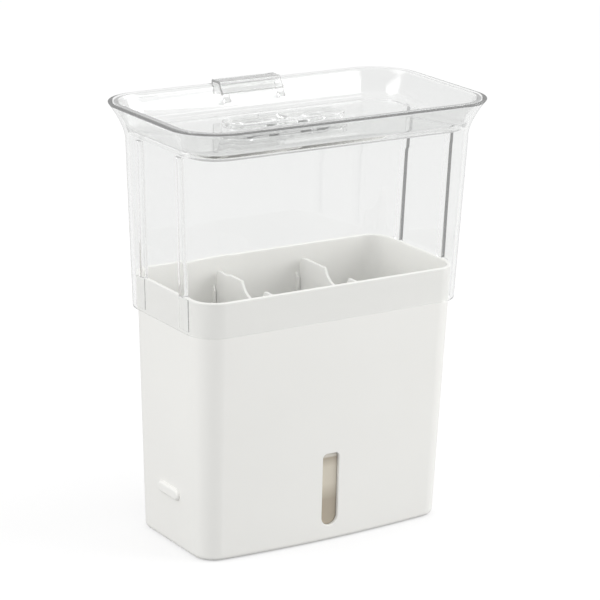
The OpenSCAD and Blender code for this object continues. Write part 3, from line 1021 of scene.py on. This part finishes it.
def flare_heights(start):
    """Heights of the rings from start to just under the rim's fillet."""
    top = rim - EDGE_FILLET
    return [start + (top - start) * k / FLARE_STEPS for k in range(FLARE_STEPS + 1)]


print(f"hood: {hood_foot / MM:.0f} to {rim / MM:.0f} mm, mouth {2 * hood_high.x / MM:.1f} mm long")

# %% [markdown]
# The wall is an open sleeve, so its profile runs up the outside, over the rim, down the
# inside and round the foot back to its start. The rim is thicker than the wall, and its
# full fillets are what draw the two bright lines along a moulded clear edge.

# %% The hood's wall
FOOT_STEPS = 3


def hood_profile():
    third = HOOD_WALL / 3
    low, high = hood_foot + 2 * HOOD_WALL, flare_foot - HOOD_WALL
    outside = [(0, z) for z in flare_heights(flare_foot)]
    inside = [(-thickness(HOOD_WALL, z), z) for z in reversed(flare_heights(flare_foot))]
    rim_out = arc(-EDGE_FILLET, rim - EDGE_FILLET, EDGE_FILLET, 0, 90)[1:]
    rim_in = arc(EDGE_FILLET - RIM_EDGE, rim - EDGE_FILLET, EDGE_FILLET, 90, 180)[:-1]
    foot_out = arc(-third, hood_foot + third, third, -90, 0, FOOT_STEPS)
    foot_in = arc(third - HOOD_WALL, hood_foot + third, third, 180, 270, FOOT_STEPS)
    return (
        foot_out
        + [(0, low), (0, high)]
        + outside
        + rim_out
        + rim_in
        + inside
        + [(-HOOD_WALL, high), (-HOOD_WALL, low)]
        + foot_in
    )


hood_rings = [hood_ring(out, z) for out, z in hood_profile()]
hood = skin("hood_wall", hood_rings, clear, sleeve=True)
print("hood wall has", len(hood_rings), "rings")

# %% [markdown]
# Two ribs run up inside each short wall. Their feet stand on the tub's rim, and a thin
# wider pad below each keeps the hood centred on the tub.

# %% The hood's ribs
RIB_Y = 20.5 * MM
RIB_WIDTH = 4.5 * MM
RIB_DROP = 17.5 * MM
RIB_ROUND = 0.3 * MM
RIB_ROOT = 0.8 * MM
SHOULDER_REACH = 1.3 * MM
PAD_WIDTH = 8.8 * MM
PAD_SHIFT = 2.2 * MM
PAD_THICK = 0.4 * MM


def inside_x(z):
    """Half length between the hood's inner faces."""
    return hood_x + spread(z) - thickness(HOOD_WALL, z)


def across_wall(side, y, width):
    """Places an (outward, height) outline across the width of a rib on a short wall."""
    return lambda u, v, w: Vector((side * u, y - width / 2 + w, v))


def hood_rib(side, y):
    """A rib that follows the wall's slope and stands on the tub's rim by its foot."""
    depth = inside_x(tub_height) - top_x + SHOULDER_REACH
    rib_top = rim - RIB_DROP
    outline = [
        (inside_x(tub_height) - depth, tub_height),
        (inside_x(tub_height) + RIB_ROOT, tub_height),
        (inside_x(rib_top) + RIB_ROOT, rib_top),
        (inside_x(rib_top) - depth, rib_top),
    ]
    rib = prism("rib", outline, RIB_WIDTH, across_wall(side, y, RIB_WIDTH), clear)
    return soften(rib, RIB_ROUND, segments=4)


def guide_pad(side, y):
    """A thin pad from near the hood's foot up to the tub's rim, beside the rib."""
    low = hood_foot + HOOD_WALL
    outline = [
        (inside_x(low) - PAD_THICK, low),
        (inside_x(low) + RIB_ROOT, low),
        (inside_x(tub_height) + RIB_ROOT, tub_height),
        (inside_x(tub_height) - PAD_THICK, tub_height),
    ]
    return prism("guide_pad", outline, PAD_WIDTH, across_wall(side, y, PAD_WIDTH), clear)


rib_places = [(side, y) for side in (-1, 1) for y in (-1, 1)]
combine(hood, [guide_pad(side, y * (RIB_Y + PAD_SHIFT)) for side, y in rib_places], "UNION")
combine(hood, [hood_rib(side, y * RIB_Y) for side, y in rib_places], "UNION")
dress(hood, "hood", "clear_plastic", "hood")

# %% [markdown]
# ## The lid
#
# The lid is a shallow tray. Its outside follows the hood's flare with a small gap, and its
# floor turns up into the wall with a generous radius, which draws a dark line all round.

# %% The lid's tray
LID_DEPTH = 15 * MM
LID_FLOOR = 2 * MM
LID_WALL = 1.8 * MM
LID_GAP = 0.35 * MM
LID_FILLET = 3 * MM
RECESS_FILLET = 3.5 * MM
LID_EDGE_FILLET = 0.9 * MM
lid_top = rim - LID_DEPTH
lid_foot = lid_top - LID_FLOOR


def lid_out(z):
    """Offset of the lid's outer face from the hood's outside."""
    return -thickness(HOOD_WALL, z) - LID_GAP


def lid_in(z):
    """Offset of the lid's inner face from the hood's outside."""
    return lid_out(z) - thickness(LID_WALL, z)


def turn(face, level, fillet, start, end):
    """The fillet between a floor at the level and the wall's face, which curves as it rises."""
    across_up = arc(-fillet, fillet, fillet, start, end, FILLET_STEPS)
    return [(across + face(level + up), level + up) for across, up in across_up]


def lid_profile():
    """From the middle out under the floor, up, over the rim and back in along the recess."""
    rim_low = rim - LID_EDGE_FILLET
    under = turn(lid_out, lid_foot, LID_FILLET, -90, 0)
    outside = [(lid_out(z), z) for z in flare_heights(lid_foot + LID_FILLET)][1:-1]
    rim_out = [
        (across + lid_out(rim), up)
        for across, up in arc(-LID_EDGE_FILLET, rim_low, LID_EDGE_FILLET, 0, 90)
    ]
    rim_in = [
        (across + lid_in(rim), up)
        for across, up in arc(LID_EDGE_FILLET, rim_low, LID_EDGE_FILLET, 90, 180)
    ]
    inside = [(lid_in(z), z) for z in reversed(flare_heights(lid_top + RECESS_FILLET))][1:-1]
    recess = turn(lid_in, lid_top, RECESS_FILLET, 0, -90)
    start = [(under[0][0] - SUPPORT, lid_foot)]
    end = [(recess[-1][0] - SUPPORT, lid_top)]
    return start + under + outside + rim_out + rim_in + inside + recess + end


lid_rings = [hood_ring(out, z) for out, z in lid_profile()]
lid = skin("lid_tray", lid_rings, lid_clear)
print("lid floor at", round(lid_top / MM, 1), "mm, tray has", len(lid_rings), "rings")

# %% [markdown]
# In the lid's floor is the vent: three air slots inside a low oblong border. A lip on each
# long side of the border holds the slider down.

# %% Slots and border of the vent
VENT_LENGTH = 75 * MM
VENT_WIDTH = 21 * MM
VENT_Y = 15 * MM
BORDER_THICK = 1.6 * MM
BORDER_ROUND = 0.4 * MM
HOLLOW_DEPTH = 6 * MM
VENT_TRAVEL = 10 * MM
SLIDER_GAP = 0.35 * MM
SLIDER_THICK = 1.5 * MM
SLOT_COUNT = 3
SLOT_PITCH = 20 * MM
SLOT_WIDTH = 3 * MM
SLOT_LENGTH = 8 * MM
LIP_LENGTH = 22 * MM
LIP_REACH = 0.8 * MM
LIP_THICK = 0.8 * MM
BORDER_HEIGHT = SLIDER_THICK + SLIDER_GAP + LIP_THICK
slider_length = VENT_LENGTH - 2 * BORDER_THICK - 2 * SLIDER_GAP - VENT_TRAVEL
slider_width = VENT_WIDTH - 2 * BORDER_THICK - 2 * SLIDER_GAP


def flat_place(x, low):
    """Places an (across, along) outline flat at height low, centred on the vent."""
    return lambda u, v, w: Vector((x + u, VENT_Y + v, low + w))


def box_outline(low_u, high_u, low_v, high_v):
    return [(low_u, low_v), (high_u, low_v), (high_u, high_v), (low_u, high_v)]


def slot_tools(shift, floor, thick):
    """Cutters for the row of air slots, reaching past both faces of a floor or plate."""
    places = [(k - (SLOT_COUNT - 1) / 2) * SLOT_PITCH + shift for k in range(SLOT_COUNT)]
    outline = oblong(SLOT_LENGTH, SLOT_WIDTH, FILLET_STEPS)
    low, depth = floor - ROOT, thick + 2 * ROOT
    return [prism("slot", outline, depth, flat_place(x, low), lid_clear) for x in places]


def border_lip(side):
    inner = VENT_WIDTH / 2 - BORDER_THICK
    tip, root = inner - LIP_REACH - SLIDER_GAP, inner + BORDER_THICK / 2
    near, far = sorted((side * tip, side * root))
    box = box_outline(-LIP_LENGTH / 2, LIP_LENGTH / 2, near, far)
    low = lid_top + BORDER_HEIGHT - LIP_THICK
    return prism("lip", box, LIP_THICK, flat_place(0, low), lid_clear)


def vent_border():
    outer = oblong(VENT_LENGTH, VENT_WIDTH)
    inner = oblong(VENT_LENGTH - 2 * BORDER_THICK, VENT_WIDTH - 2 * BORDER_THICK)
    low, height = lid_top - LID_FLOOR / 2, LID_FLOOR / 2 + BORDER_HEIGHT
    border = prism("border", outer, height, flat_place(0, low), lid_clear)
    soften(border, BORDER_ROUND, angle=60)
    hollow = prism("hollow", inner, HOLLOW_DEPTH, flat_place(0, lid_top), lid_clear)
    return combine(border, [hollow], "DIFFERENCE")


combine(lid, [vent_border()], "UNION")
combine(lid, [border_lip(side) for side in (-1, 1)], "UNION")
combine(lid, slot_tools(0, lid_foot, LID_FLOOR), "DIFFERENCE")
dress(lid, "lid", "clear_plastic", "lid")

# %% [markdown]
# ## The vent slider
#
# The slider lies on the lid's floor inside the border. Its own slots are half a pitch off
# the lid's when shut, and a small ridge in the middle is its grip. Two clear faces in one
# plane would trap the light and look black, so a hair of air stays under the slider.

# %% The slider
GRIP_WIDTH = 3 * MM
GRIP_LENGTH = 11 * MM
GRIP_HEIGHT = 1.6 * MM
GRIP_ROUND = 0.9 * MM
SLIDER_ROUND = 0.25 * MM
AIR_HAIR = 0.06 * MM
slider_x = -VENT_TRAVEL / 2


def grip():
    box = box_outline(-GRIP_WIDTH / 2, GRIP_WIDTH / 2, -GRIP_LENGTH / 2, GRIP_LENGTH / 2)
    low = lid_top + SLIDER_THICK / 2
    ridge = prism("grip", box, SLIDER_THICK / 2 + GRIP_HEIGHT, flat_place(0, low), lid_clear)
    return soften(ridge, GRIP_ROUND, segments=5)


slider = prism(
    "vent_slide_plate",
    oblong(slider_length, slider_width),
    SLIDER_THICK - AIR_HAIR,
    flat_place(slider_x, lid_top + AIR_HAIR),
    lid_clear,
)
soften(slider, SLIDER_ROUND, segments=2, angle=60)
combine(slider, slot_tools(slider_x - VENT_TRAVEL / 2, lid_top, SLIDER_THICK), "DIFFERENCE")
combine(slider, [grip()], "UNION")
dress(slider, "vent_slider", "clear_plastic", "vent_slider")

# %% [markdown]
# ## The lid's handle
#
# A small clear saddle hooks over both rims at the back, where a finger lifts it. Its inner
# side follows the lid's curved wall and ends in a rounded bead, which draws the bright and
# dark lines along it. Two legs at its ends reach further down. It sits a hair to the left
# of the middle. It is a thicker piece than the lid, so it takes a little more of the light
# that crosses it.

# %% The handle
HANDLE_LENGTH = 39.2 * MM
HANDLE_X = -0.7 * MM
HANDLE_WALL = 1.4 * MM
HANDLE_BEND = 0.6 * HANDLE_WALL
LEG_LENGTH = 4.3 * MM
LEG_DROP = 9 * MM
LIP_DROP = 4.6 * MM
LIP_BEAD = 0.8 * MM
BEAD_HEIGHT = 2.4 * MM
SKIRT_DROP = 7 * MM
HANDLE_GAP = 0.3 * MM
LEG_GAP = 0.12 * MM
HANDLE_STEPS = 16
HANDLE_TINT, HANDLE_GLOW = (0.885, 0.889, 0.885), 0.15
handle_clear = clear_plastic("handle_plastic", HANDLE_TINT, HANDLE_GLOW)


def lid_in_y(z):
    """Half width between the lid's inner faces."""
    return hood_y + spread(z) + lid_in(z)


def bead(z, low):
    """How far the rounded bead along the lower edge stands out at height z."""
    share = min((z - low) / BEAD_HEIGHT, 1)
    return LIP_BEAD * math.sin(math.pi * share)


def handle_section(drop):
    """The saddle seen from its end: its inner side, the skirt outside and the top over both."""
    low = rim - drop
    heights = [low + drop * k / HANDLE_STEPS for k in range(HANDLE_STEPS + 1)]
    near = [(lid_in_y(z) - LEG_GAP, z) for z in heights]
    far = [(lid_in_y(z) - LEG_GAP - HANDLE_WALL - bead(z, low), z) for z in reversed(heights)]
    skirt = hood_y + spread(rim) + HANDLE_GAP
    under, over = rim + HANDLE_GAP, rim + HANDLE_GAP + HANDLE_WALL
    skirt_low = rim - SKIRT_DROP
    inner_y = lid_in_y(rim) - LEG_GAP
    bend_up = over - HANDLE_BEND
    return (
        near
        + [(inner_y, under), (skirt, under), (skirt, skirt_low), (skirt + HANDLE_WALL, skirt_low)]
        + arc(skirt + HANDLE_WALL - HANDLE_BEND, bend_up, HANDLE_BEND, 0, 90)
        + arc(inner_y - HANDLE_WALL + HANDLE_BEND, bend_up, HANDLE_BEND, 90, 180)
        + far
    )


def handle_slice(middle, length, drop):
    place = lambda u, v, w: Vector((middle - length / 2 + w, u, v))
    return prism("lid_saddle", handle_section(drop), length, place, handle_clear)


handle = handle_slice(HANDLE_X, HANDLE_LENGTH, LIP_DROP)
leg_x = (HANDLE_LENGTH - LEG_LENGTH) / 2
legs = [handle_slice(HANDLE_X + side * leg_x, LEG_LENGTH, LEG_DROP) for side in (-1, 1)]
combine(handle, legs, "UNION")
dress(handle, "lid", "clear_plastic", "lid_handle")

# %% Sizes and finish
visual_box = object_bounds()
for label, corners in (("construction", cad_box), ("looks", visual_box)):
    print(label, [[round(v / MM, 1) for v in corner] for corner in corners])
